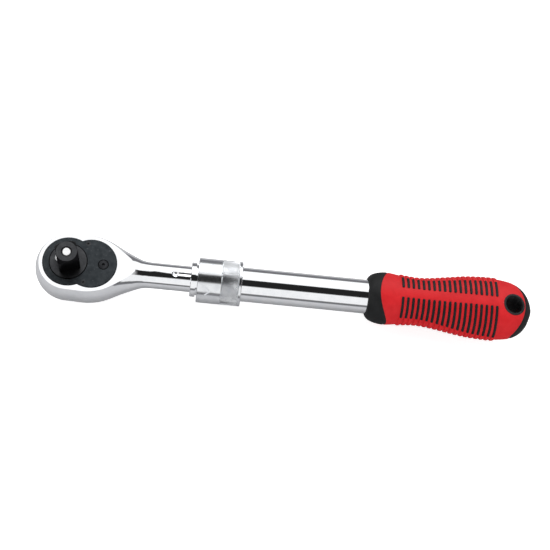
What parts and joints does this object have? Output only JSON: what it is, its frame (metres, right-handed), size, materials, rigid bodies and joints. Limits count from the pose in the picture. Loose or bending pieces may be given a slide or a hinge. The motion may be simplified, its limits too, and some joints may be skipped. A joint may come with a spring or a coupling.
{
  "type": "extendable ratchet handle",
  "caption": "Telescopic ratchet handle with a pear head, square drive, quick-release button, reverse lever, knurled locking collar and two-colour oval grip.",
  "frame": {"origin": "on the drive axis, at the shoulder of the square where a socket seats", "axes": "+Z out of the square drive, +X along the handle towards the grip, +Y across it by the right-hand rule"},
  "size_m": [0.3049, 0.0412, 0.0406],
  "materials": {
    "chrome": "bright chrome plate",
    "collar_chrome": "satin chrome with a diamond knurl",
    "cover_grey": "dark grey satin steel",
    "black_steel": "black oxide",
    "lever_steel": "black coated steel",
    "plain_steel": "ground steel with an oil film",
    "spring_steel": "drawn wire",
    "bright_steel": "polished steel",
    "nylon": "moulded nylon",
    "black_grip": "fine matt moulded rubber",
    "red_grip": "fine matt moulded rubber"
  },
  "bodies": {
    "head": {"head_shank": "chrome", "rod_guide_ring": "nylon", "cover_plate": "cover_grey", "cover_screws": "black_steel", "thrust_washer": "plain_steel"},
    "drive": {"drive_gear": "black_steel", "release_snap_ring": "plain_steel"},
    "release": {"release_plunger": "bright_steel", "release_spring": "spring_steel"},
    "socket_ball": {"socket_ball": "bright_steel"},
    "lever": {"reverse_lever": "lever_steel", "selector_cam": "plain_steel", "toggle_ball": "bright_steel", "toggle_spring": "spring_steel", "stem_clip": "plain_steel"},
    "pawl": {"pawl": "plain_steel"},
    "handle": {"lock_bush": "chrome", "outer_tube": "chrome", "tube_plug": "nylon", "spring_clip": "plain_steel", "collar_spring": "spring_steel", "grip_core": "black_grip", "grip_skin": "red_grip"},
    "collar": {"lock_collar": "collar_chrome", "collar_cap": "collar_chrome"},
    "lock_ball": {"lock_ball": "bright_steel"}
  },
  "joints": [
    {"name": "telescope", "type": "slide", "parent": "head", "child": "handle", "axis": [1, 0, 0], "range_m": [-0.02, 0.12]},
    {"name": "collar_slide", "type": "slide", "parent": "handle", "child": "collar", "axis": [1, 0, 0], "range_m": [0, 0.005], "stiffness_N_per_m": 1500, "springref_m": -0.004, "deforming": ["collar_spring"]},
    {"name": "lock_ball_lift", "type": "slide", "parent": "handle", "child": "lock_ball", "axis": [0, 0, 1], "range_m": [0, 0.0006]},
    {"name": "drive_spin", "type": "hinge", "parent": "head", "child": "drive", "pos_m": [0, 0, 0], "axis": [0, 0, 1], "continuous": true},
    {"name": "lever_turn", "type": "hinge", "parent": "head", "child": "lever", "pos_m": [0.021, 0, -0.0106], "axis": [0, 0, 1], "range_deg": [0, 60]},
    {"name": "pawl_rock", "type": "hinge", "parent": "head", "child": "pawl", "pos_m": [0.021, 0, -0.0106], "axis": [0, 0, 1], "range_deg": [-9, 0]},
    {"name": "release_push", "type": "slide", "parent": "drive", "child": "release", "axis": [0, 0, 1], "range_m": [0, 0.002], "stiffness_N_per_m": 1500, "springref_m": -0.002, "deforming": ["release_spring"]},
    {"name": "ball_retract", "type": "slide", "parent": "drive", "child": "socket_ball", "axis": [-0.9455, -0.3256, 0], "range_m": [-0.001, 0]}
  ],
  "couplings": [
    {"joint": "lock_ball_lift", "follows": "collar_slide", "ratio": 0.12},
    {"joint": "pawl_rock", "follows": "lever_turn", "ratio": -0.15},
    {"joint": "ball_retract", "follows": "release_push", "ratio": -0.5}
  ]
}
